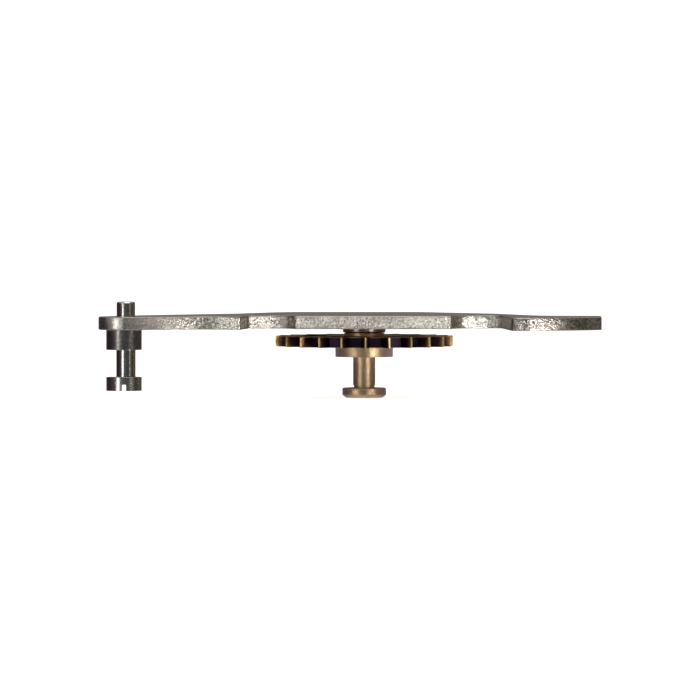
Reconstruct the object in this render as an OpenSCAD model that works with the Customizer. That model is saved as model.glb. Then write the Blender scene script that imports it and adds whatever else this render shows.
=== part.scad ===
// Mounted chronograph lever of a wrist watch. A flat steel lever turns on an eccentric stud at its
// left eye and carries a pointed-tooth brass wheel on a grooved hub under its middle.
// Millimetres, +Z up. The origin is on the axis of the stud's two round lands, level with the lever's
// underside. +X runs along the lever, -Y is its front edge.

/* [Lever plate] */
// Thickness of the lever
lever_thickness = 0.34; // [0.28:0.01:0.45]
// Outer radius of the pivot eye
eye_radius = 0.71; // [0.6:0.01:0.85]
// Eye axis to the front corner of the left arm
arm_length = 2.97; // [2.6:0.01:3.4]
// How far the corner of the left arm stands in front of the stud axis
arm_corner_reach = 0.21; // [0.05:0.01:0.5]
// Eye axis to the waist of the left arm's front edge
arm_waist_length = 2.07; // [1.5:0.01:2.4]
// How far the waist lies behind the stud axis
arm_waist_set_back = 0.05; // [0:0.01:0.2]
// Run of the sloped wall between the left arm and the notch
notch_wall_run = 0.17; // [0.1:0.01:0.3]
// Length of the notch floor
notch_length = 1.2; // [1:0.01:1.5]
// Depth of the notch's left end behind the middle pad's front edge
notch_depth = 0.41; // [0.3:0.01:0.7]
// How much deeper the notch is at its right end
notch_fall = 0.46; // [0.2:0.01:0.6]
// Length of the middle pad
pad_length = 4.1; // [3.6:0.01:4.6]
// How far the middle pad's front edge lies behind the stud axis
pad_set_back = 0.39; // [0.2:0.01:0.6]
// Depth of the middle part from its front edge to its back edge
body_depth = 4.57; // [4.2:0.01:5.2]
// Length of the scallop right of the pad
scallop_length = 1.25; // [1.1:0.01:1.5]
// Depth of the scallop's left end behind the pad's front edge
scallop_depth = 0.66; // [0.5:0.01:0.9]
// How much deeper the scallop is at its right end
scallop_fall = 0.35; // [0.1:0.01:0.5]
// Run of the sloped wall between the scallop and the heel
heel_wall_run = 0.27; // [0.15:0.01:0.4]
// Length of the heel's flat front
heel_length = 0.48; // [0.35:0.01:0.7]
// How far the heel stands in front of the stud axis
heel_reach = 1.47; // [1.3:0.01:1.7]
// Run of the ramp from the heel to the tail
tail_ramp_run = 0.96; // [0.7:0.01:1.2]
// Length of the tail from the ramp to its end
tail_length = 0.89; // [0.7:0.01:1.3]
// How far the tail's front edge stands in front of the stud axis where the ramp ends
tail_reach = 1.2; // [1:0.01:1.3]
// How far the tail's front edge falls back from the ramp to the tail's end
tail_taper = 0.68; // [0.35:0.01:0.8]
// Width of the tail where the ramp ends
tail_width = 2.1; // [1.8:0.01:2.3]
// Length of the tail's straight back edge
tail_back_length = 1.51; // [1.2:0.01:1.7]
// Right shoulder of the back edge: distance before the tail's end, and behind the stud axis
right_shoulder = [2.67, 3.13]; // [2:0.01:4]
// Where the straight back edge starts, right of the pad's left end
back_start = -0.31; // [-0.5:0.01:0]
// Where the straight back edge ends, left of the pad's right end
back_stop = 0.84; // [0.5:0.01:1.2]
// Waist of the back edge: distance right of the eye axis, and behind the stud axis
back_waist = [2.9, 3.28]; // [2.4:0.01:3.6]
// Back corner beside the eye: distance right of the eye axis, and behind the stud axis
eye_shoulder = [0.42, 1.5]; // [0.3:0.01:1.8]
// Radius of the small outer corners
corner_radius = 0.1; // [0.04:0.01:0.14]
// Radius of the notch's round end
notch_radius = 0.5; // [0.3:0.01:0.7]
// Radius of the scallop's left end
scallop_radius = 0.65; // [0.3:0.01:0.8]
// Radius of the scallop's right end
scallop_end_radius = 0.3; // [0.15:0.01:0.5]
// Radius of the heel's corner
heel_radius = 0.16; // [0.08:0.01:0.2]
// Radius of the arm's waist
waist_radius = 1.6; // [0.8:0.01:2]
// Radius that blends the ramp into the tail
ramp_radius = 3; // [1:0.1:4]
// Radius of the wide bends in the back edge
back_radius = 1.1; // [0.5:0.01:1.3]
// Radius of the corner beside the eye
eye_shoulder_radius = 0.35; // [0.2:0.01:0.5]

/* [Eccentric stud] */
// Radius of the two round lands that sit in the watch's main plate
land_radius = 0.46; // [0.4:0.01:0.55]
// Offset of the pivot pin and neck from the axis of the lands
eccentricity = 0.05; // [0.02:0.005:0.08]
// Radius of the pivot pin
pin_radius = 0.24; // [0.2:0.005:0.3]
// How far the pin stands above the lever
pin_stand = 0.384; // [0.2:0.002:0.6]
// Chamfer at the pin's top
pin_chamfer = 0.03; // [0.01:0.005:0.06]
// Height of the upper land
upper_land_height = 0.518; // [0.4:0.002:0.7]
// Radius of the neck between the lands
neck_radius = 0.25; // [0.2:0.005:0.3]
// Height of the neck
neck_height = 0.704; // [0.5:0.002:0.9]
// Height of the slotted lower land
lower_land_height = 0.356; // [0.3:0.002:0.5]
// Width of the screwdriver slot
slot_width = 0.115; // [0.08:0.005:0.16]
// Depth of the screwdriver slot
slot_depth = 0.165; // [0.1:0.005:0.2]
// Radial play of the pin in the eye
pin_play = 0.012; // [0.01:0.001:0.02]

/* [Wheel and hub] */
// Place of the wheel's axis: distance right of the pad's left end, and behind the pad's front edge
wheel_place = [1.82, 2.19]; // [1.5:0.01:2.6]
// Number of teeth
tooth_count = 23; // [20:1:26]
// Radius over the tooth tips
wheel_radius = 2.31; // [2.1:0.01:2.5]
// Height of the teeth
tooth_height = 0.32; // [0.25:0.01:0.4]
// Width of the flat on a tooth tip
tip_width = 0.04; // [0.03:0.005:0.06]
// Width of a tooth at its root
tooth_root_width = 0.24; // [0.18:0.01:0.3]
// Turn of the first tooth from straight ahead
tooth_turn = 0.8; // [0:0.1:15]
// Thickness of the wheel
wheel_thickness = 0.274; // [0.2:0.002:0.34]
// Width of the wheel's rim under the teeth
rim_width = 0.34; // [0.25:0.01:0.45]
// Number of arms in the wheel
arm_count = 5; // [4:1:6]
// Width of a wheel arm
spoke_width = 0.17; // [0.12:0.01:0.25]
// Radius of the wheel's solid centre
centre_radius = 0.98; // [0.9:0.01:1.1]
// Radius of the hub's upper boss, which the wheel is riveted on
boss_radius = 0.52; // [0.45:0.005:0.6]
// How far the boss stands above the wheel
boss_stand = 0.07; // [0.04:0.002:0.1]
// Radius of the collar under the wheel
collar_radius = 0.75; // [0.65:0.01:0.85]
// Height of the collar
collar_height = 0.276; // [0.2:0.002:0.35]
// Radius of the hub's neck
hub_neck_radius = 0.29; // [0.27:0.005:0.34]
// Height of the hub's neck
hub_neck_height = 0.8; // [0.6:0.01:1]
// Depth of the undercut at the foot of the neck
undercut_depth = 0.022; // [0.01:0.002:0.03]
// Height of the undercut
undercut_height = 0.06; // [0.04:0.005:0.1]
// Radius of the hub's bottom flange
flange_radius = 0.57; // [0.52:0.01:0.65]
// Height of the bottom flange
flange_height = 0.26; // [0.24:0.01:0.32]
// Radial width of the flange's lower chamfer
flange_chamfer = 0.1; // [0.05:0.005:0.11]
// Height of the flange's lower chamfer
flange_chamfer_height = 0.075; // [0.04:0.005:0.1]
// Break on the flange's upper edge
flange_break = 0.025; // [0.01:0.005:0.04]
// Radial play of the hub on its journal
hub_play = 0.012; // [0.01:0.001:0.02]
// Play of the hub along its journal, at each end
end_shake = 0.012; // [0.01:0.001:0.03]

/* [Shoulder screw and washer] */
// Radius of the journal that the hub turns on
journal_radius = 0.17; // [0.15:0.005:0.19]
// Radius of the threaded end
thread_radius = 0.12; // [0.1:0.005:0.13]
// How far the thread's end stops below the lever's top
thread_set_in = 0.03; // [0:0.005:0.06]
// Radius of the screw's head
head_radius = 0.34; // [0.3:0.005:0.36]
// Height of the screw's head
head_height = 0.13; // [0.1:0.005:0.14]
// Width of the slot in the head
head_slot_width = 0.08; // [0.06:0.005:0.12]
// Depth of the slot in the head
head_slot_depth = 0.06; // [0.04:0.005:0.08]
// Radial gap round the head in the flange's recess
recess_gap = 0.04; // [0.02:0.005:0.05]
// How far the head sits up inside the recess
head_set_in = 0.02; // [0:0.005:0.04]
// Radius of the spacer washer
washer_radius = 0.555; // [0.5:0.005:0.65]
// Thickness of the spacer washer
washer_thickness = 0.136; // [0.1:0.002:0.2]
// Rounding of the washer's edge
washer_round = 0.035; // [0.02:0.005:0.045]

/* [Hidden] */
$fn = 96;
cut = 0.05;
arc_steps = 12;
outline_gap = 0.005;

steel = "silver";
brass = "burlywood";

eye_x = eccentricity;
eye_bore = pin_radius + pin_play;

notch_left = eye_x + arm_length + notch_wall_run;
pad_left = notch_left + notch_length;
pad_right = pad_left + pad_length;
scallop_right = pad_right + scallop_length;
heel_left = scallop_right + heel_wall_run;
heel_right = heel_left + heel_length;
ramp_end = heel_right + tail_ramp_run;
tail_end = ramp_end + tail_length;
notch_floor = pad_set_back + notch_depth;
scallop_floor = pad_set_back + scallop_depth;
back_y = pad_set_back + body_depth;
tail_back = tail_width - tail_reach;

wheel_axis = [pad_left + wheel_place.x, pad_set_back + wheel_place.y];
root_radius = wheel_radius - tooth_height;
rim_radius = root_radius - rim_width;

hub_top = -washer_thickness - end_shake;
wheel_top = hub_top - boss_stand;
collar_top = wheel_top - wheel_thickness;
hub_neck_top = collar_top - collar_height;
flange_top = hub_neck_top - hub_neck_height;
hub_bottom = flange_top - flange_height;
hub_bore = journal_radius + hub_play;
head_bottom = hub_bottom + head_set_in;
head_top = head_bottom + head_height;
recess_top = head_top + end_shake;
recess_radius = head_radius + recess_gap;

land_bottom = -upper_land_height - neck_height - lower_land_height;

// The lever's outline: corner points as [x, y, radius], anticlockwise from the front of the eye.
LEVER_CORNERS = [
    [eye_x, -eye_radius, 0],
    [eye_x + arm_waist_length, arm_waist_set_back, waist_radius],
    [eye_x + arm_length, -arm_corner_reach, corner_radius],
    [notch_left, notch_floor, corner_radius],
    [pad_left, notch_floor + notch_fall, notch_radius],
    [pad_left, pad_set_back, corner_radius],
    [pad_right, pad_set_back, corner_radius],
    [pad_right, scallop_floor, scallop_radius],
    [scallop_right, scallop_floor + scallop_fall, scallop_end_radius],
    [heel_left, -heel_reach, heel_radius],
    [heel_right, -heel_reach, corner_radius],
    [ramp_end, -tail_reach, ramp_radius],
    [tail_end, tail_taper - tail_reach, corner_radius],
    [tail_end, tail_back, corner_radius],
    [tail_end - tail_back_length, tail_back, back_radius],
    [tail_end - right_shoulder.x, right_shoulder.y, back_radius],
    [pad_right - back_stop, back_y, back_radius],
    [pad_left + back_start, back_y, back_radius],
    [eye_x + back_waist.x, back_waist.y, back_radius],
    [eye_x + eye_shoulder.x, eye_shoulder.y, eye_shoulder_radius],
    [eye_x - eye_radius * cos(45), eye_radius * sin(45), 0],
];

function unit(v) = v / norm(v);
function xy(p) = [p.x, p.y];

// The points of a corner rounded to its own radius, between the corners before and after it.
function rounded_corner(before, corner, after) =
    let (to_before = unit(xy(before) - xy(corner)),
         to_after = unit(xy(after) - xy(corner)),
         half_angle = acos(to_before * to_after) / 2,
         centre = xy(corner) + unit(to_before + to_after) * corner[2] / sin(half_angle),
         reach = corner[2] / tan(half_angle),
         first = xy(corner) + to_before * reach - centre,
         last = xy(corner) + to_after * reach - centre,
         sweep = 180 - 2 * half_angle)
    [for (i = [0 : arc_steps])
        let (t = i / arc_steps)
        centre + (first * sin((1 - t) * sweep) + last * sin(t * sweep)) / sin(sweep)];

// How far a corner's rounding reaches along its two sides.
function rounding_reach(before, corner, after) =
    let (cosine = unit(xy(before) - xy(corner)) * unit(xy(after) - xy(corner)))
    cosine > -0.9999 ? corner[2] / tan(acos(cosine) / 2) : 0;

// A closed outline from corners that each hold a radius; a radius of 0 leaves the corner sharp. A
// rounding is limited to what its sides leave it, beside the roundings at their other ends.
function rounded_outline(corners) =
    let (n = len(corners),
         reach = [for (i = [0 : n - 1])
             rounding_reach(corners[(i + n - 1) % n], corners[i], corners[(i + 1) % n])],
         side = [for (i = [0 : n - 1]) norm(xy(corners[(i + 1) % n]) - xy(corners[i]))])
    [for (i = [0 : n - 1])
        let (before = (i + n - 1) % n,
             after = (i + 1) % n,
             room = min(side[i] - reach[after], side[before] - reach[before]) - outline_gap,
             radius = reach[i] > 0 ? corners[i][2] * min(1, room / reach[i]) : 0)
        each radius > 0
            ? rounded_corner(corners[before], [corners[i].x, corners[i].y, radius], corners[after])
            : [xy(corners[i])]];

// One tooth as four points, centred on the given angle.
function tooth(angle) =
    let (root_half = asin(tooth_root_width / 2 / root_radius),
         tip_half = asin(tip_width / 2 / wheel_radius))
    [for (p = [[root_radius, -root_half], [wheel_radius, -tip_half],
               [wheel_radius, tip_half], [root_radius, root_half]])
        p[0] * [cos(angle + p[1]), sin(angle + p[1])]];

module lever() {
    color(steel)
        difference() {
            linear_extrude(lever_thickness)
                union() {
                    polygon(rounded_outline(LEVER_CORNERS));
                    translate([eye_x, 0]) circle(eye_radius);
                }
            translate([eye_x, 0, -cut])
                cylinder(r = eye_bore, h = lever_thickness + 2 * cut);
            translate([wheel_axis.x, wheel_axis.y, -cut])
                cylinder(r = thread_radius, h = lever_thickness + 2 * cut);
        }
}

module eccentric_stud() {
    pin_top = lever_thickness + pin_stand;
    neck_top = -upper_land_height;
    neck_bottom = neck_top - neck_height;
    color(steel)
        difference() {
            union() {
                translate([0, 0, neck_top]) cylinder(r = land_radius, h = upper_land_height);
                translate([eye_x, 0, 0])
                    rotate_extrude()
                        polygon([
                            [0, -cut],
                            [pin_radius, -cut],
                            [pin_radius, pin_top - pin_chamfer],
                            [pin_radius - pin_chamfer, pin_top],
                            [0, pin_top],
                        ]);
                translate([eye_x, 0, neck_bottom - cut])
                    cylinder(r = neck_radius, h = neck_height + 2 * cut);
                translate([0, 0, land_bottom]) cylinder(r = land_radius, h = lower_land_height);
            }
            translate([-slot_width / 2, -land_radius - cut, land_bottom - cut])
                cube([slot_width, 2 * (land_radius + cut), slot_depth + cut]);
        }
}

module spacer_washer() {
    color("dimgray")
        translate([wheel_axis.x, wheel_axis.y, 0])
            rotate_extrude()
                difference() {
                    translate([thread_radius, -washer_thickness])
                        square([washer_radius - thread_radius, washer_thickness]);
                    for (edge = [0, -washer_thickness])
                        translate([washer_radius, edge])
                            rotate(45) square(washer_round * sqrt(2), center = true);
                }
}

module minute_wheel() {
    outline = [for (i = [0 : tooth_count - 1])
        each tooth(tooth_turn - 90 + i * 360 / tooth_count)];
    color(brass)
        translate([wheel_axis.x, wheel_axis.y, collar_top])
            difference() {
                linear_extrude(wheel_thickness)
                    difference() {
                        polygon(outline);
                        difference() {
                            circle(rim_radius);
                            circle(centre_radius);
                            for (i = [0 : arm_count - 1])
                                rotate(i * 360 / arm_count)
                                    translate([0, -spoke_width / 2])
                                        square([wheel_radius - tooth_height, spoke_width]);
                        }
                    }
                translate([0, 0, -cut]) cylinder(r = boss_radius, h = wheel_thickness + 2 * cut);
            }
}

module wheel_hub() {
    neck_foot = hub_neck_radius - undercut_depth;
    color(brass)
        translate([wheel_axis.x, wheel_axis.y, 0])
            rotate_extrude()
                polygon([
                    [hub_bore, hub_top],
                    [hub_bore, recess_top],
                    [recess_radius, recess_top],
                    [recess_radius, hub_bottom],
                    [flange_radius - flange_chamfer, hub_bottom],
                    [flange_radius, hub_bottom + flange_chamfer_height],
                    [flange_radius, flange_top - flange_break],
                    [flange_radius - flange_break, flange_top],
                    [neck_foot, flange_top],
                    [neck_foot, flange_top + undercut_height],
                    [hub_neck_radius, flange_top + undercut_height],
                    [hub_neck_radius, hub_neck_top],
                    [collar_radius, hub_neck_top],
                    [collar_radius, collar_top],
                    [boss_radius, collar_top],
                    [boss_radius, hub_top],
                ]);
}

module shoulder_screw() {
    thread_top = lever_thickness - thread_set_in;
    color("gray")
        translate([wheel_axis.x, wheel_axis.y, 0])
            difference() {
                rotate_extrude()
                    polygon([
                        [0, head_bottom],
                        [head_radius, head_bottom],
                        [head_radius, head_top],
                        [journal_radius, head_top],
                        [journal_radius, -washer_thickness],
                        [thread_radius, -washer_thickness],
                        [thread_radius, thread_top],
                        [0, thread_top],
                    ]);
                translate([-head_slot_width / 2, -head_radius - cut, head_bottom - cut])
                    cube([head_slot_width, 2 * (head_radius + cut), head_slot_depth + cut]);
            }
}

lever();
eccentric_stud();
spacer_washer();
minute_wheel();
wheel_hub();
shoulder_screw();
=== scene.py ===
# Mounted chronograph lever: a stamped steel lever that turns on an eccentric stud and carries a
# pointed-tooth brass wheel on a grooved hub. Shapes are drawn in millimetres and placed in metres.
from math import atan2, ceil, cos, pi, radians, sin, tan

import bmesh
import bpy
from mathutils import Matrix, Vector


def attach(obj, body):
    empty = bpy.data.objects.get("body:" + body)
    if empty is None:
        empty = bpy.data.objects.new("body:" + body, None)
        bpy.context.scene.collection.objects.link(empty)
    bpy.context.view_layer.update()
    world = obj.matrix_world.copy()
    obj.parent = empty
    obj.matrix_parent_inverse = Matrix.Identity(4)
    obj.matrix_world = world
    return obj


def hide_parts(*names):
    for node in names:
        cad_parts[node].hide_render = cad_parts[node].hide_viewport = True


MM = 0.001
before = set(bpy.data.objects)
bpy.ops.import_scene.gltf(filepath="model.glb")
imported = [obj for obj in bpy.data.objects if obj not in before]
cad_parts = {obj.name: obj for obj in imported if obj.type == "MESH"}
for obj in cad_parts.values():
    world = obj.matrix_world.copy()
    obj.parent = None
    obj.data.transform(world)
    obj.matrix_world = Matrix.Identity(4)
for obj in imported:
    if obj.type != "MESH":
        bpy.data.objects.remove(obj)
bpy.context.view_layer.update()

# Real sizes, in millimetres, of what the pieces share. Heights count from the lever's underside.
EYE_X = 0.05
EYE_RADIUS = 0.71
EYE_BORE = 0.252
LEVER_THICKNESS = 0.34
WHEEL_X = 6.21
WHEEL_Y = 2.58
WHEEL_AXIS = (WHEEL_X, WHEEL_Y)
THREAD_RADIUS = 0.12
WASHER_THICKNESS = 0.136
BOSS_RADIUS = 0.52
WHEEL_TOP = -0.218
WHEEL_THICKNESS = 0.274
TIP_RADIUS = 2.31
ROOT_RADIUS = 1.99
HUB_BOTTOM = -1.828

# Material numbers of a plate's surfaces.
FACE, BREAK, WALL = 0, 1, 2


# Shapes


def rounded(corners, arc_step=radians(4), support=0.02):
    """Points of a closed outline whose corners are (x, y, radius). Beside each arc a straight side
    has one more point, which keeps its shading flat."""
    points = []
    for index, (x, y, radius) in enumerate(corners):
        corner = Vector((x, y))
        if radius == 0:
            points.append(corner)
            continue
        back = Vector(corners[index - 1][:2]) - corner
        ahead = Vector(corners[(index + 1) % len(corners)][:2]) - corner
        back.normalize()
        ahead.normalize()
        half = back.angle(ahead) / 2
        reach = radius / tan(half)
        centre = corner + (back + ahead).normalized() * radius / sin(half)
        first = corner + back * reach - centre
        last = corner + ahead * reach - centre
        start = atan2(first.y, first.x)
        turn = (atan2(last.y, last.x) - start + pi) % (2 * pi) - pi
        count = max(2, ceil(abs(turn) / arc_step))
        points.append(corner + back * (reach + support))
        for step in range(count + 1):
            angle = start + turn * step / count
            points.append(centre + radius * Vector((cos(angle), sin(angle))))
        points.append(corner + ahead * (reach + support))
    return points


def arc(centre, radius, start, stop, count):
    """Points along an arc, both ends included. The angles are in radians."""
    angles = [start + (stop - start) * step / count for step in range(count + 1)]
    return [Vector(centre) + radius * Vector((cos(a), sin(a))) for a in angles]


def hole(centre, radius, count=96):
    """A round hole's outline, clockwise, so that the metal lies on its left."""
    return arc(centre, radius, 2 * pi, 0, count)[:-1]


def inset(loop, distance, least_lean=0.4):
    """The loop moved into the metal, which lies on its left. least_lean keeps the point of a sharp
    corner from moving far inward."""
    moved = []
    for index, point in enumerate(loop):
        back = (point - loop[index - 1]).normalized()
        ahead = (loop[(index + 1) % len(loop)] - point).normalized()
        left = Vector((-back.y - ahead.y, back.x + ahead.x)).normalized()
        lean = left.dot(Vector((-back.y, back.x)))
        moved.append(point + left * distance / max(lean, least_lean))
    return moved


def link_piece(name, bm, body, node, materials):
    """Makes the object from a mesh drawn in millimetres, gives it its body and hides the node that it
    replaces.
    """
    bmesh.ops.scale(bm, vec=(MM, MM, MM), verts=bm.verts)
    bmesh.ops.recalc_face_normals(bm, faces=bm.faces)
    mesh = bpy.data.meshes.new(name)
    bm.to_mesh(mesh)
    bm.free()
    for material in materials:
        mesh.materials.append(material)
    mesh.shade_smooth()
    mesh.set_sharp_from_angle(angle=radians(8))
    piece = bpy.data.objects.new(name, mesh)
    bpy.context.scene.collection.objects.link(piece)
    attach(piece, body)
    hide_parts(node)


def plate(loops, bottom, top, edge_break, steps=4):
    """A flat plate with round-broken rims. loops are its outline and holes, with the metal on their
    left. Its faces, breaks and walls have material numbers FACE, BREAK and WALL."""
    bm = bmesh.new()
    quarter_turn = [radians(90) * step / steps for step in range(steps + 1)]
    low = [(edge_break * (1 - sin(a)), bottom + edge_break * (1 - cos(a))) for a in quarter_turn]
    high = [(depth, bottom + top - z) for depth, z in reversed(low)]
    levels = low + high
    rims = {0: [], len(levels) - 1: []}
    for loop in loops:
        rings = []
        for depth, z in levels:
            outline = inset(loop, depth)
            rings.append([bm.verts.new((p.x, p.y, z)) for p in outline])
        for level in range(len(rings) - 1):
            lower, upper = rings[level], rings[level + 1]
            for a in range(len(loop)):
                b = (a + 1) % len(loop)
                face = bm.faces.new((lower[a], lower[b], upper[b], upper[a]))
                face.material_index = WALL if level == steps else BREAK
        for level in rims:
            ring = rings[level]
            rims[level] += [bm.edges.get((ring[i - 1], ring[i])) for i in range(len(ring))]
    for edges in rims.values():
        bmesh.ops.triangle_fill(bm, use_beauty=True, edges=edges)
    return bm


def broken(profile, edge_break):
    """A turned profile [(centre x, radius, z)] with each real edge rounded off by a small arc, which
    takes less than half of either side."""
    sides_per_break = 2.2
    arc_shares = (0, 0.3, 0.7, 1)
    result = []
    last = len(profile) - 1
    for index, point in enumerate(profile):
        here = Vector(point)
        before = Vector(profile[index - 1]) - here
        after = Vector(profile[(index + 1) % len(profile)]) - here
        if here.y == 0 or index in (0, last):
            result.append(here)
            continue
        cut = min(edge_break, before.length / sides_per_break, after.length / sides_per_break)
        one = here + before.normalized() * cut
        two = here + after.normalized() * cut
        for share in arc_shares:
            result.append(one.lerp(here, share).lerp(here.lerp(two, share), share))
    return result


def turned(profile, centre, edge_break=0.008, closed=False, count=128):
    """A turned piece from a profile [(centre x, radius, z)]. An end at radius 0 is one point, and a
    closed profile goes round a bore."""
    bm = bmesh.new()
    rings = []
    for x, radius, z in broken(profile, edge_break):
        middle = Vector((centre[0] + x, centre[1]))
        if radius == 0:
            rings.append([bm.verts.new((middle.x, middle.y, z))] * count)
            continue
        ring = arc(middle, radius, 0, 2 * pi, count)[:-1]
        rings.append([bm.verts.new((p.x, p.y, z)) for p in ring])
    pairs = list(zip(rings, rings[1:]))
    if closed:
        pairs.append((rings[-1], rings[0]))
    for one, two in pairs:
        for a in range(count):
            b = (a + 1) % count
            corners = [one[a], one[b], two[b], two[a]]
            bm.faces.new([v for i, v in enumerate(corners) if v not in corners[:i]])
    return bm


def slotted(bm, centre, width, depth, bottom):
    """Cuts a screwdriver slot along Y into the underside of a turned piece."""
    reach = 1.0
    rounding = 0.012
    weld = 0.0001
    box = bmesh.new()
    bmesh.ops.create_cube(box, size=1)
    bmesh.ops.scale(box, vec=(width, 2 * reach, 2 * depth), verts=box.verts)
    bmesh.ops.translate(box, vec=(centre[0], centre[1], bottom), verts=box.verts)
    rounds = [e for e in box.edges if abs(e.verts[0].co.y - e.verts[1].co.y) > reach]
    bmesh.ops.bevel(box, geom=rounds, offset=rounding, segments=3, affect="EDGES", profile=0.5)
    objects = []
    for source in (bm, box):
        bmesh.ops.recalc_face_normals(source, faces=source.faces)
        mesh = bpy.data.meshes.new("slot_work")
        source.to_mesh(mesh)
        source.free()
        objects.append(bpy.data.objects.new("slot_work", mesh))
        bpy.context.scene.collection.objects.link(objects[-1])
    body, cutter = objects
    cut = body.modifiers.new("slot", "BOOLEAN")
    cut.operation = "DIFFERENCE"
    cut.solver = "EXACT"
    cut.object = cutter
    result = bmesh.new()
    result.from_mesh(body.evaluated_get(bpy.context.evaluated_depsgraph_get()).data)
    bmesh.ops.remove_doubles(result, verts=result.verts, dist=weld)
    bmesh.ops.dissolve_degenerate(result, edges=result.edges, dist=weld)
    for made in objects:
        bpy.data.meshes.remove(made.data)
    return result


# Materials


def colour(hex_value):
    """An sRGB hex value as linear red, green, blue and alpha."""
    parts = [int(hex_value[i:i + 2], 16) / 255 for i in (1, 3, 5)]
    return [c / 12.92 if c <= 0.04045 else ((c + 0.055) / 1.055) ** 2.4 for c in parts] + [1]


def add(tree, kind, inputs=None, stops=(), **settings):
    """Adds a node. inputs maps a socket's name or number to a value, or to the output that feeds it.
    stops are a colour ramp's places, each with its hex value."""
    node = tree.nodes.new(kind)
    for name, value in settings.items():
        setattr(node, name, value)
    for key, value in (inputs or {}).items():
        if isinstance(value, bpy.types.NodeSocket):
            tree.links.new(value, node.inputs[key])
        else:
            node.inputs[key].default_value = value
    if stops:
        elements = node.color_ramp.elements
        elements.remove(elements[-1])
        elements[0].position = stops[0][0]
        elements[0].color = colour(stops[0][1])
        for place, hex_value in stops[1:]:
            elements.new(place).color = colour(hex_value)
    return node


def new_material(name):
    """An empty node material and its tree."""
    material = bpy.data.materials.new(name)
    material.use_nodes = True
    material.node_tree.nodes.clear()
    return material, material.node_tree


def per_size(millimetres):
    """A texture scale that gives one cell of the pattern in this many millimetres."""
    return 1 / (millimetres * MM)


def from_wheel_axis(tree, place):
    """The distance of a point of the surface from the wheel's axis, in metres."""
    offset = add(tree, "ShaderNodeVectorMath", {
        0: place, 1: (WHEEL_X * MM, WHEEL_Y * MM, 0)}, operation="SUBTRACT")
    flat = add(tree, "ShaderNodeVectorMath", {0: offset.outputs[0], 1: (1, 1, 0)}, operation="MULTIPLY")
    return add(tree, "ShaderNodeVectorMath", {0: flat.outputs[0]}, operation="LENGTH").outputs["Value"]


def blanked_steel_edge():
    """Carbon steel sheet, blanked and then tumbled in grit: its edges are a field of small facets
    that glitter, each about 0.045 mm across and of its own shade, on a slightly warm grey. Round
    the pivot eye they are rubbed nearly smooth."""
    rubbed_to, rough_from = 0.72, 1.3
    middle_shade = 0.5
    material, tree = new_material("blanked_steel_edge")
    place = add(tree, "ShaderNodeTexCoord").outputs["Object"]
    grain = add(tree, "ShaderNodeTexNoise", {
        "Vector": place, "Scale": per_size(0.05), "Detail": 2.0, "Roughness": 0.6})
    facets = add(tree, "ShaderNodeTexVoronoi", {
        "Vector": place, "Scale": per_size(0.045), "Randomness": 1.0}, feature="F1")
    height = add(tree, "ShaderNodeMath", {
        0: facets.outputs["Distance"], 1: grain.outputs["Fac"]}, operation="ADD")
    from_eye = add(tree, "ShaderNodeVectorMath", {
        0: place, 1: (EYE_X * MM, 0, 0)}, operation="DISTANCE")
    grain_left = add(tree, "ShaderNodeMapRange", {
        "Value": from_eye.outputs["Value"], "From Min": rubbed_to * MM, "From Max": rough_from * MM,
        "To Min": 0.4})
    bump = add(tree, "ShaderNodeBump", {
        "Height": height.outputs[0], "Strength": grain_left.outputs["Result"],
        "Distance": 0.0095 * MM})
    stain = add(tree, "ShaderNodeTexNoise", {
        "Vector": place, "Scale": per_size(0.9), "Detail": 4.0, "Roughness": 0.6})
    facet_shade = add(tree, "ShaderNodeMath", {
        0: facets.outputs["Color"], 1: middle_shade}, operation="SUBTRACT")
    shade = add(tree, "ShaderNodeMath", {
        0: facet_shade.outputs[0], 1: grain_left.outputs["Result"], 2: stain.outputs["Fac"]},
        operation="MULTIPLY_ADD")
    tint = add(tree, "ShaderNodeValToRGB", {"Fac": shade.outputs[0]}, stops=[
        (0.15, "#8f8881"), (0.85, "#e2ddd6")])
    gloss = add(tree, "ShaderNodeMapRange", {
        "Value": grain.outputs["Fac"], "From Min": 0.3, "From Max": 0.7,
        "To Min": 0.26, "To Max": 0.38})
    shader = add(tree, "ShaderNodeBsdfPrincipled", {
        "Base Color": tint.outputs["Color"], "Metallic": 1.0,
        "Roughness": gloss.outputs["Result"], "Normal": bump.outputs["Normal"]})
    add(tree, "ShaderNodeOutputMaterial", {"Surface": shader.outputs[0]})
    return material


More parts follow.
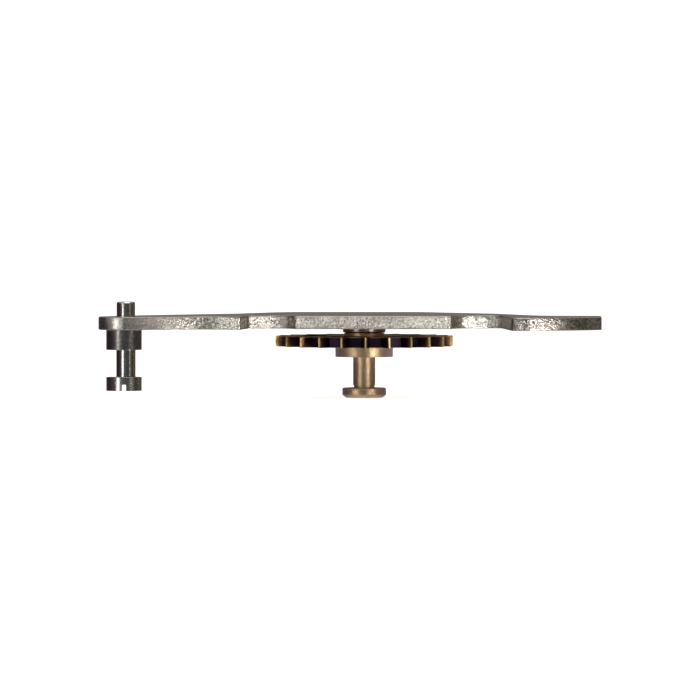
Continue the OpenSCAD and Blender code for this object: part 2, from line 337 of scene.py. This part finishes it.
def straight_grained_steel():
    """Carbon steel sheet, ground on fine emery in one direction: straight scratches along the lever
    that blur a reflection across them. Real scratches are 0.01 mm apart and are drawn 0.04 mm
    apart, so that they show."""
    material, tree = new_material("straight_grained_steel")
    place = add(tree, "ShaderNodeTexCoord").outputs["Object"]
    stretched = add(tree, "ShaderNodeMapping", {"Vector": place, "Scale": (0.02, 1.0, 1.0)})
    scratches = add(tree, "ShaderNodeTexNoise", {
        "Vector": stretched.outputs[0], "Scale": per_size(0.04), "Detail": 3.0, "Roughness": 0.7})
    bump = add(tree, "ShaderNodeBump", {
        "Height": scratches.outputs["Fac"], "Strength": 0.6, "Distance": 0.003 * MM})
    stain = add(tree, "ShaderNodeTexNoise", {
        "Vector": place, "Scale": per_size(1.4), "Detail": 4.0, "Roughness": 0.55})
    tint = add(tree, "ShaderNodeValToRGB", {"Fac": stain.outputs["Fac"]}, stops=[
        (0.35, "#bbafa6"), (0.65, "#cfc6bc")])
    gloss = add(tree, "ShaderNodeMapRange", {
        "Value": scratches.outputs["Fac"], "From Min": 0.3, "From Max": 0.7,
        "To Min": 0.24, "To Max": 0.36})
    shader = add(tree, "ShaderNodeBsdfPrincipled", {
        "Base Color": tint.outputs["Color"], "Metallic": 1.0,
        "Roughness": gloss.outputs["Result"], "Normal": bump.outputs["Normal"]})
    add(tree, "ShaderNodeOutputMaterial", {"Surface": shader.outputs[0]})
    return material


def tumbled_steel_rim():
    """The lever's rims, rounded by tumbling: an even satin between the faces and the grained edges,
    with shallow dents 0.05 mm apart."""
    material, tree = new_material("tumbled_steel_rim")
    place = add(tree, "ShaderNodeTexCoord").outputs["Object"]
    dents = add(tree, "ShaderNodeTexNoise", {
        "Vector": place, "Scale": per_size(0.05), "Detail": 2.0, "Roughness": 0.5})
    bump = add(tree, "ShaderNodeBump", {
        "Height": dents.outputs["Fac"], "Strength": 0.8, "Distance": 0.006 * MM})
    tint = add(tree, "ShaderNodeValToRGB", {"Fac": dents.outputs["Fac"]}, stops=[
        (0.35, "#978f88"), (0.65, "#bab3ac")])
    shader = add(tree, "ShaderNodeBsdfPrincipled", {
        "Base Color": tint.outputs["Color"], "Metallic": 1.0, "Roughness": 0.36,
        "Normal": bump.outputs["Normal"]})
    add(tree, "ShaderNodeOutputMaterial", {"Surface": shader.outputs[0]})
    return material


def turned_polished_steel():
    """Hardened steel bar, turned and then polished in the lathe: clean bright lines along the axis,
    blurred along it by fine turning lines. The wide lands are left satin, and the upper one, under
    the lever, is a little rougher and has painted shade darkening its colour. Real lines are 0.005 mm
    apart and are drawn 0.03 mm apart, so that they show."""
    neck_to, land_from = 0.34, 0.38
    lower_to, upper_from = -0.9, -0.5
    polished, land_adds, upper_land_adds, lines_add = 0.10, 0.08, 0.12, 0.16
    material, tree = new_material("turned_polished_steel")
    place = add(tree, "ShaderNodeTexCoord").outputs["Object"]
    rings = add(tree, "ShaderNodeMapping", {"Vector": place, "Scale": (0.06, 0.06, 1.0)})
    lines = add(tree, "ShaderNodeTexNoise", {
        "Vector": rings.outputs[0], "Scale": per_size(0.03), "Detail": 3.0, "Roughness": 0.7})
    pits = add(tree, "ShaderNodeTexNoise", {
        "Vector": place, "Scale": per_size(0.06), "Detail": 2.0, "Roughness": 0.6})
    height = add(tree, "ShaderNodeMath", {
        0: lines.outputs["Fac"], 1: pits.outputs["Fac"]}, operation="ADD")
    bump = add(tree, "ShaderNodeBump", {
        "Height": height.outputs[0], "Strength": 0.5, "Distance": 0.0022 * MM})
    bright = add(tree, "ShaderNodeValToRGB", {"Fac": pits.outputs["Fac"]}, stops=[
        (0.35, "#b9b6b1"), (0.65, "#cdcac5")])
    # painted shade: a darker copy of the steel colour, for the upper land under the lever
    shaded_tint = add(tree, "ShaderNodeValToRGB", {"Fac": pits.outputs["Fac"]}, stops=[
        (0.35, "#7f7a7a"), (0.65, "#a09b99")])
    flat = add(tree, "ShaderNodeVectorMath", {0: place, 1: (1, 1, 0)}, operation="MULTIPLY")
    radius = add(tree, "ShaderNodeVectorMath", {0: flat.outputs[0]}, operation="LENGTH")
    land = add(tree, "ShaderNodeMapRange", {
        "Value": radius.outputs["Value"], "From Min": neck_to * MM, "From Max": land_from * MM})
    part = add(tree, "ShaderNodeSeparateXYZ", {0: place})
    upper = add(tree, "ShaderNodeMapRange", {
        "Value": part.outputs["Z"], "From Min": lower_to * MM, "From Max": upper_from * MM})
    # mask of the painted shade: the upper land under the lever, which also gets more roughness
    upper_land_shade = add(tree, "ShaderNodeMath", {
        0: land.outputs["Result"], 1: upper.outputs["Result"]}, operation="MULTIPLY")
    tint = add(tree, "ShaderNodeMix", {
        "Factor": upper_land_shade.outputs[0], 6: bright.outputs["Color"], 7: shaded_tint.outputs["Color"]},
        data_type="RGBA")
    satin = add(tree, "ShaderNodeMath", {
        0: land.outputs["Result"], 1: land_adds, 2: polished}, operation="MULTIPLY_ADD")
    rubbed = add(tree, "ShaderNodeMath", {
        0: upper_land_shade.outputs[0], 1: upper_land_adds, 2: satin.outputs[0]}, operation="MULTIPLY_ADD")
    gloss = add(tree, "ShaderNodeMath", {
        0: lines.outputs["Fac"], 1: lines_add, 2: rubbed.outputs[0]}, operation="MULTIPLY_ADD")
    around = add(tree, "ShaderNodeTangent", direction_type="RADIAL", axis="Z")
    shader = add(tree, "ShaderNodeBsdfPrincipled", {
        "Base Color": tint.outputs[2], "Metallic": 1.0, "Roughness": gloss.outputs[0],
        "Anisotropic": 0.5, "Anisotropic Rotation": 0.25,
        "Tangent": around.outputs[0], "Normal": bump.outputs["Normal"]})
    add(tree, "ShaderNodeOutputMaterial", {"Surface": shader.outputs[0]})
    return material


def darkened_steel():
    """Mild steel washer, satin: a purple-brown grey darker than bare steel, with paler patches
    here and there."""
    material, tree = new_material("darkened_steel")
    place = add(tree, "ShaderNodeTexCoord").outputs["Object"]
    oxide = add(tree, "ShaderNodeTexNoise", {
        "Vector": place, "Scale": per_size(0.12), "Detail": 4.0, "Roughness": 0.6})
    bump = add(tree, "ShaderNodeBump", {
        "Height": oxide.outputs["Fac"], "Strength": 0.5, "Distance": 0.006 * MM})
    tint = add(tree, "ShaderNodeValToRGB", {"Fac": oxide.outputs["Fac"]}, stops=[
        (0.3, "#8f7c7e"), (0.55, "#ab9993"), (0.72, "#d0c6bd")])
    shader = add(tree, "ShaderNodeBsdfPrincipled", {
        "Base Color": tint.outputs["Color"], "Metallic": 1.0, "Roughness": 0.34,
        "Normal": bump.outputs["Normal"]})
    add(tree, "ShaderNodeOutputMaterial", {"Surface": shader.outputs[0]})
    return material


def cut_brass_teeth():
    """Brass, cut with a formed cutter: smooth walls along the axis. Painted shade, nearly black purple
    at the roots and dark red above them, darkens the teeth toward the gaps and gives way to plain
    brass at the tips. Real cutter marks are 0.005 mm apart and are drawn 0.03 mm apart, so that they
    show."""
    blotch_share = 0.3
    material, tree = new_material("cut_brass_teeth")
    place = add(tree, "ShaderNodeTexCoord").outputs["Object"]
    # painted shade between the teeth: the colour runs from dark at the roots to plain brass at the tips
    height = add(tree, "ShaderNodeMapRange", {
        "Value": from_wheel_axis(tree, place),
        "From Min": ROOT_RADIUS * MM, "From Max": TIP_RADIUS * MM, "To Max": 0.8})
    blotch = add(tree, "ShaderNodeTexNoise", {
        "Vector": place, "Scale": per_size(0.15), "Detail": 3.0, "Roughness": 0.6})
    shifted = add(tree, "ShaderNodeMath", {
        0: blotch.outputs["Fac"], 1: blotch_share, 2: height.outputs["Result"]},
        operation="MULTIPLY_ADD")
    tint = add(tree, "ShaderNodeValToRGB", {"Fac": shifted.outputs[0]}, stops=[
        (0.2, "#241a26"), (0.65, "#3d2224"), (0.84, "#80603c"), (0.93, "#d8c08c")])
    lines = add(tree, "ShaderNodeMapping", {"Vector": place, "Scale": (1.0, 1.0, 0.05)})
    marks = add(tree, "ShaderNodeTexNoise", {
        "Vector": lines.outputs[0], "Scale": per_size(0.03), "Detail": 2.0, "Roughness": 0.6})
    bump = add(tree, "ShaderNodeBump", {
        "Height": marks.outputs["Fac"], "Strength": 0.5, "Distance": 0.002 * MM})
    shader = add(tree, "ShaderNodeBsdfPrincipled", {
        "Base Color": tint.outputs["Color"], "Metallic": 1.0, "Roughness": 0.4,
        "Normal": bump.outputs["Normal"]})
    add(tree, "ShaderNodeOutputMaterial", {"Surface": shader.outputs[0]})
    return material


def circular_grained_brass():
    """Brass wheel faces, stoned while turning: rings round the wheel's axis. Real rings are 0.01 mm
    apart and are drawn 0.05 mm apart, so that they show."""
    material, tree = new_material("circular_grained_brass")
    place = add(tree, "ShaderNodeTexCoord").outputs["Object"]
    rings = add(tree, "ShaderNodeTexNoise", {
        "W": from_wheel_axis(tree, place), "Scale": per_size(0.05), "Detail": 3.0,
        "Roughness": 0.7}, noise_dimensions="1D")
    bump = add(tree, "ShaderNodeBump", {
        "Height": rings.outputs["Fac"], "Strength": 0.6, "Distance": 0.003 * MM})
    stain = add(tree, "ShaderNodeTexNoise", {
        "Vector": place, "Scale": per_size(0.6), "Detail": 4.0, "Roughness": 0.6})
    tint = add(tree, "ShaderNodeValToRGB", {"Fac": stain.outputs["Fac"]}, stops=[
        (0.3, "#c79b5c"), (0.7, "#dfbe83")])
    shader = add(tree, "ShaderNodeBsdfPrincipled", {
        "Base Color": tint.outputs["Color"], "Metallic": 1.0, "Roughness": 0.28,
        "Normal": bump.outputs["Normal"]})
    add(tree, "ShaderNodeOutputMaterial", {"Surface": shader.outputs[0]})
    return material


def turned_satin_brass():
    """Leaded brass bar, turned and left satin: a soft grain with fine turning lines, a faint brown
    tarnish, and a violet-grey haze of oxide that shows toward its sides. Real lines are 0.006 mm
    apart and are drawn 0.035 mm apart, so that they show."""
    material, tree = new_material("turned_satin_brass")
    place = add(tree, "ShaderNodeTexCoord").outputs["Object"]
    rings = add(tree, "ShaderNodeMapping", {"Vector": place, "Scale": (0.08, 0.08, 1.0)})
    lines = add(tree, "ShaderNodeTexNoise", {
        "Vector": rings.outputs[0], "Scale": per_size(0.035), "Detail": 3.0, "Roughness": 0.7})
    grain = add(tree, "ShaderNodeTexNoise", {
        "Vector": place, "Scale": per_size(0.06), "Detail": 2.0, "Roughness": 0.6})
    height = add(tree, "ShaderNodeMath", {
        0: lines.outputs["Fac"], 1: grain.outputs["Fac"]}, operation="ADD")
    bump = add(tree, "ShaderNodeBump", {
        "Height": height.outputs[0], "Strength": 0.8, "Distance": 0.007 * MM})
    stain = add(tree, "ShaderNodeTexNoise", {
        "Vector": place, "Scale": per_size(0.3), "Detail": 4.0, "Roughness": 0.6})
    tint = add(tree, "ShaderNodeValToRGB", {"Fac": stain.outputs["Fac"]}, stops=[
        (0.3, "#bf9f74"), (0.7, "#d8bd92")])
    shader = add(tree, "ShaderNodeBsdfPrincipled", {
        "Base Color": tint.outputs["Color"], "Metallic": 0.9, "Roughness": 0.38,
        "Sheen Weight": 1.0, "Sheen Roughness": 0.6, "Sheen Tint": colour("#c2baec"),
        "Normal": bump.outputs["Normal"]})
    add(tree, "ShaderNodeOutputMaterial", {"Surface": shader.outputs[0]})
    return material


# Pieces


def make_lever():
    """The stamped plate. Its outline's corners are (x, y, rounding), and run from the pivot eye
    along the front to the tail, and back behind the wheel."""
    left_arm = [(2.12, 0.05, 1.6), (3.02, -0.21, 0.1)]
    notch = [(3.19, 0.80, 0.1), (4.39, 1.26, 0.5)]
    pad = [(4.39, 0.39, 0.1), (8.49, 0.39, 0.1)]
    scallop = [(8.49, 1.05, 0.65), (9.74, 1.40, 0.3)]
    heel = [(10.01, -1.47, 0.16), (10.49, -1.47, 0.1)]
    tail = [(11.45, -1.20, 3.0), (12.34, -0.52, 0.1), (12.34, 0.90, 0.1)]
    back = [
        (10.83, 0.90, 1.1), (9.67, 3.13, 1.1), (7.65, 4.96, 1.1), (4.08, 4.96, 1.1),
        (2.95, 3.28, 1.1), (0.47, 1.50, 0.35)]
    eye = (EYE_X, 0)
    eye_front = (EYE_X, -EYE_RADIUS, 0)
    eye_back = (EYE_X - EYE_RADIUS * cos(pi / 4), EYE_RADIUS * sin(pi / 4), 0)
    corners = [eye_front, *left_arm, *notch, *pad, *scallop, *heel, *tail, *back, eye_back]
    sides = rounded(corners)[1:-1]
    outline = arc(eye, EYE_RADIUS, radians(135), radians(270), count=40) + sides
    loops = [outline, hole(eye, EYE_BORE), hole(WHEEL_AXIS, THREAD_RADIUS, count=64)]
    bm = plate(loops, 0, LEVER_THICKNESS, edge_break=0.03)
    finishes = [straight_grained_steel(), tumbled_steel_rim(), blanked_steel_edge()]
    link_piece("stamped_lever", bm, "lever_arm", "lever", finishes)


def make_stud():
    """One turned piece: pivot pin, upper land, neck and slotted lower land. The pin and the neck
    stand off the axis of the lands."""
    land, pin, neck = 0.46, 0.24, 0.25
    top, chamfer = 0.724, 0.03
    neck_top, neck_bottom, bottom = -0.518, -1.222, -1.578
    slot_width, slot_depth = 0.115, 0.165
    profile = [
        (EYE_X, 0, top), (EYE_X, pin - chamfer, top), (EYE_X, pin, top - chamfer), (EYE_X, pin, 0),
        (0, land, 0), (0, land, neck_top), (EYE_X, neck, neck_top), (EYE_X, neck, neck_bottom),
        (0, land, neck_bottom), (0, land, bottom), (0, 0, bottom)]
    axis = (0, 0)
    bm = slotted(turned(profile, axis), axis, slot_width, slot_depth, bottom)
    link_piece("turned_stud", bm, "stud", "eccentric_stud", [turned_polished_steel()])


def make_washer():
    """The darkened washer between the lever and the hub."""
    outer, bore, bottom = 0.555, THREAD_RADIUS, -WASHER_THICKNESS
    profile = [(0, bore, 0), (0, outer, 0), (0, outer, bottom), (0, bore, bottom)]
    bm = turned(profile, WHEEL_AXIS, edge_break=0.035, closed=True)
    link_piece("dark_washer", bm, "lever_arm", "spacer_washer", [darkened_steel()])


def make_wheel():
    """The brass wheel: 23 narrow teeth on a rim, and five arms to a solid centre. A tooth stands
    0.8 degrees right of the front, as the photograph shows."""
    teeth, tip_width, root_width = 23, 0.04, 0.24
    rim, middle = 1.65, 0.98
    arms, arm_width = 5, 0.17
    axis = Vector(WHEEL_AXIS)
    pitch = 2 * pi / teeth
    first = radians(-90 + 0.8)
    outline = []
    for tooth in range(teeth):
        angle = first + tooth * pitch
        along = Vector((cos(angle), sin(angle)))
        across = Vector((-along.y, along.x))
        root = root_width / 2 / ROOT_RADIUS
        tip = tip_width / 2
        outline += [axis + along * TIP_RADIUS + across * side for side in (-tip, tip)]
        outline += arc(axis, ROOT_RADIUS, angle + root, angle + pitch - root, count=6)
    windows = []
    for number in range(arms):
        start = 2 * pi * number / arms
        stop = start + 2 * pi / arms
        outer, inner = arm_width / 2 / rim, arm_width / 2 / middle
        windows.append(
            arc(axis, rim, stop - outer, start + outer, count=40)
            + arc(axis, middle, start + inner, stop - inner, count=32))
    loops = [outline, *windows, hole(axis, BOSS_RADIUS)]
    bm = plate(loops, WHEEL_TOP - WHEEL_THICKNESS, WHEEL_TOP, edge_break=0.008, steps=2)
    brass = circular_grained_brass()
    finishes = [brass, brass, cut_brass_teeth()]
    link_piece("toothed_wheel", bm, "wheel", "minute_wheel", finishes)


def make_hub():
    """The grooved hub: boss through the wheel, collar, neck with an undercut foot, and a chamfered
    flange with a recess for the screw's head."""
    bore, recess, undercut, neck, collar = 0.182, 0.38, 0.268, 0.29, 0.75
    flange_bottom, flange, flange_top = 0.47, 0.57, 0.545
    boss_z, collar_top_z, collar_bottom_z = -0.148, -0.492, -0.768
    undercut_z, flange_top_z, wall_top_z, wall_bottom_z = -1.508, -1.568, -1.593, -1.753
    recess_z = -1.666
    profile = [
        (bore, boss_z), (bore, recess_z), (recess, recess_z), (recess, HUB_BOTTOM),
        (flange_bottom, HUB_BOTTOM), (flange, wall_bottom_z), (flange, wall_top_z),
        (flange_top, flange_top_z), (undercut, flange_top_z), (undercut, undercut_z),
        (neck, undercut_z), (neck, collar_bottom_z), (collar, collar_bottom_z),
        (collar, collar_top_z), (BOSS_RADIUS, collar_top_z), (BOSS_RADIUS, boss_z)]
    rings = [(0, radius, z) for radius, z in profile]
    bm = turned(rings, WHEEL_AXIS, edge_break=0.014, closed=True)
    link_piece("grooved_hub", bm, "wheel", "wheel_hub", [turned_satin_brass()])


def make_screw():
    """The shoulder screw that the hub turns on, with its slotted head in the flange's recess."""
    thread, journal, head = THREAD_RADIUS, 0.17, 0.34
    top, shoulder, head_top, bottom = 0.31, -WASHER_THICKNESS, -1.678, -1.808
    slot_width, slot_depth = 0.08, 0.06
    profile = [
        (0, 0, top), (0, thread, top), (0, thread, shoulder), (0, journal, shoulder),
        (0, journal, head_top), (0, head, head_top), (0, head, bottom), (0, 0, bottom)]
    bm = slotted(turned(profile, WHEEL_AXIS), WHEEL_AXIS, slot_width, slot_depth, bottom)
    finishes = [turned_polished_steel()]
    link_piece("shouldered_screw", bm, "lever_arm", "shoulder_screw", finishes)


# Studio


def make_floor():
    """A plain pale floor just under the part's lowest point, near white with a faint shadow.
    Mirror-like metal sees through it to the same pale ground in the world, and it holds no lamp
    back."""
    radius_in_metres = 4.0
    gap = 0.002
    bm = bmesh.new()
    bmesh.ops.create_circle(bm, cap_ends=True, segments=96, radius=radius_in_metres)
    mesh = bpy.data.meshes.new("floor")
    bm.to_mesh(mesh)
    bm.free()
    floor = bpy.data.objects.new("floor", mesh)
    floor.location.z = (HUB_BOTTOM - gap) * MM
    bpy.context.scene.collection.objects.link(floor)
    material, tree = new_material("pale_floor")
    ray = add(tree, "ShaderNodeLightPath")
    lit = add(tree, "ShaderNodeBsdfDiffuse", {"Color": colour("#e9e8e6")})
    glow = add(tree, "ShaderNodeEmission", {"Color": colour("#fdfdfd"), "Strength": 0.86})
    seen = add(tree, "ShaderNodeAddShader", {0: lit.outputs[0], 1: glow.outputs[0]})
    clear = add(tree, "ShaderNodeBsdfTransparent")
    mirrored = add(tree, "ShaderNodeMath", {
        0: ray.outputs["Is Glossy Ray"], 1: ray.outputs["Is Transmission Ray"]}, operation="MAXIMUM")
    through = add(tree, "ShaderNodeMath", {
        0: mirrored.outputs[0], 1: ray.outputs["Is Shadow Ray"]}, operation="MAXIMUM")
    bounced = add(tree, "ShaderNodeMixShader", {
        0: through.outputs[0], 1: lit.outputs[0], 2: clear.outputs[0]})
    surface = add(tree, "ShaderNodeMixShader", {
        0: ray.outputs["Is Camera Ray"], 1: bounced.outputs[0], 2: seen.outputs[0]})
    add(tree, "ShaderNodeOutputMaterial", {"Surface": surface.outputs[0]})
    mesh.materials.append(material)


def make_world():
    """White to the camera. Other rays see a dim studio round the part, pale overhead and underfoot.
    Metal and glass also see a tenth of the white that lies behind the part, because the steel in
    the photograph shows a backdrop much darker than the white round it."""
    white_share = 0.1
    # The room's colours by azimuth in degrees from the camera's side, right positive.
    room = [
        (-180, "#3d3128"), (-150, "#382f33"), (-110, "#33292f"), (-75, "#4b3c44"),
        (-50, "#796a6e"), (-28, "#7d8982"), (-10, "#565f5a"), (20, "#514b50"), (42, "#575550"),
        (58, "#8c897d"), (70, "#4b4644"), (90, "#453c40"), (110, "#716a4c"), (140, "#584838"),
        (180, "#3d3128")]
    world = bpy.data.worlds.new("studio")
    bpy.context.scene.world = world
    world.use_nodes = True
    tree = world.node_tree
    tree.nodes.clear()
    toward = add(tree, "ShaderNodeTexCoord").outputs["Generated"]
    part = add(tree, "ShaderNodeSeparateXYZ", {0: toward})
    front = add(tree, "ShaderNodeMath", {0: part.outputs["Y"], 1: -1.0}, operation="MULTIPLY")
    azimuth = add(tree, "ShaderNodeMath", {
        0: part.outputs["X"], 1: front.outputs[0]}, operation="ARCTAN2")
    turn = add(tree, "ShaderNodeMapRange", {
        "Value": azimuth.outputs[0], "From Min": -pi, "From Max": pi})
    ring = add(tree, "ShaderNodeValToRGB", {"Fac": turn.outputs["Result"]}, stops=[
        ((angle + 180) / 360, hex_value) for angle, hex_value in room])
    slope = add(tree, "ShaderNodeMath", {0: part.outputs["Z"]}, operation="ABSOLUTE")
    height = add(tree, "ShaderNodeMapRange", {
        "Value": slope.outputs[0], "From Min": 0.3, "From Max": 0.9}, interpolation_type="SMOOTHSTEP")
    studio = add(tree, "ShaderNodeMix", {
        "Factor": height.outputs["Result"], 6: ring.outputs["Color"], 7: colour("#d6d5d3")},
        data_type="RGBA")
    surround = add(tree, "ShaderNodeBackground", {"Color": studio.outputs[2], "Strength": 1.0})
    white = add(tree, "ShaderNodeBackground", {"Color": colour("#ffffff"), "Strength": 1.0})
    behind_part = add(tree, "ShaderNodeMapRange", {
        "Value": part.outputs["Y"], "From Min": 0.7, "From Max": 0.95, "To Max": white_share})
    ray = add(tree, "ShaderNodeLightPath")
    mirrored = add(tree, "ShaderNodeMath", {
        0: ray.outputs["Is Glossy Ray"], 1: ray.outputs["Is Transmission Ray"]}, operation="MAXIMUM")
    mirrored_white = add(tree, "ShaderNodeMath", {
        0: mirrored.outputs[0], 1: behind_part.outputs["Result"]}, operation="MULTIPLY")
    whiteness = add(tree, "ShaderNodeMath", {
        0: ray.outputs["Is Camera Ray"], 1: mirrored_white.outputs[0]}, operation="MAXIMUM")
    shown = add(tree, "ShaderNodeMixShader", {
        0: whiteness.outputs[0], 1: surround.outputs[0], 2: white.outputs[0]})
    add(tree, "ShaderNodeOutputWorld", {"Surface": shown.outputs[0]})


def make_lamp(name, azimuth, height, distance, size, spread, microwatts, hex_value, aim):
    """A soft panel that faces aim, in millimetres. The azimuth is in degrees from the camera's side,
    right positive, and spread is the angle in degrees that its light keeps to."""
    light = bpy.data.lights.new(name, "AREA")
    light.shape = "RECTANGLE"
    light.size = size[0] * MM
    light.size_y = size[1] * MM
    light.spread = radians(spread)
    light.energy = microwatts / 1000000
    light.color = colour(hex_value)[:3]
    lamp = bpy.data.objects.new(name, light)
    angle = radians(azimuth)
    target = Vector(aim) * MM
    away = Vector((sin(angle) * distance, -cos(angle) * distance, height)) * MM
    lamp.location = target + away
    lamp.rotation_euler = (-away).to_track_quat("-Z", "Y").to_euler()
    lamp.visible_camera = False
    bpy.context.scene.collection.objects.link(lamp)


def make_lamps():
    """One wide soft panel lights the part from above. In front the light falls in patches, so seven
    small panels with narrow beams stand there. They stand below the plane of the lever's top face,
    which otherwise mirrors them as glare when it is seen from behind."""
    # Each row: name, azimuth, height, distance, size, spread, microwatts, colour and aim.
    panels = [
        ("left_panel", -45, -2.2, 26, (6.5, 9), 50, 75, "#fffdf9", (4, 0, -0.5)),
        ("right_panel", 41, -2.2, 20, (4, 9), 16, 34, "#fffbf4", (6, 0, -0.5)),
        ("eye_panel", -45, -9, 20, (6, 1.2), 4, 60, "#fffaf7", (-1.6, 0, 1.0)),
        ("arm_panel", -32, -9, 24, (2.5, 6), 4, 5, "#fffdfa", (2.4, 0, 0.3)),
        ("notch_panel", 42, -7, 20, (3, 6), 9, 20, "#fffdfa", (2.9, 0, 0)),
        ("pad_panel", -4, -4, 20, (7, 2), 6, 13, "#fffdfa", (6.3, 0, 1)),
        ("ramp_panel", 35, -6, 20, (1.5, 2.5), 5, 12.2, "#fffdfa", (9.15, 0, -0.4)),
        ("top_panel", 10, 40, 8, (24, 24), 120, 3000, "#ffffff", (6, 1.5, 0))]
    for panel in panels:
        make_lamp(*panel)


def make_camera():
    """A long lens 1.5 degrees above the lever, as the photograph shows it. The sizes of the frame
    and its centre are in millimetres at the part."""
    lens = 1000
    sensor = 36
    frame_width = 18.09
    elevation = radians(1.5)
    distance = frame_width * lens / sensor
    centre = Vector((5.841, 0, -0.525))
    data = bpy.data.cameras.new("camera")
    data.lens = lens
    data.sensor_width = sensor
    camera = bpy.data.objects.new("camera", data)
    back = Vector((0, -cos(elevation), sin(elevation)))
    camera.location = (centre + back * distance) * MM
    camera.rotation_euler = (-back).to_track_quat("-Z", "Y").to_euler()
    bpy.context.scene.collection.objects.link(camera)
    bpy.context.scene.camera = camera


make_camera()
make_lever()
make_stud()
make_washer()
make_wheel()
make_hub()
make_screw()
make_floor()
make_world()
make_lamps()
bpy.context.scene.view_settings.view_transform = "Standard"
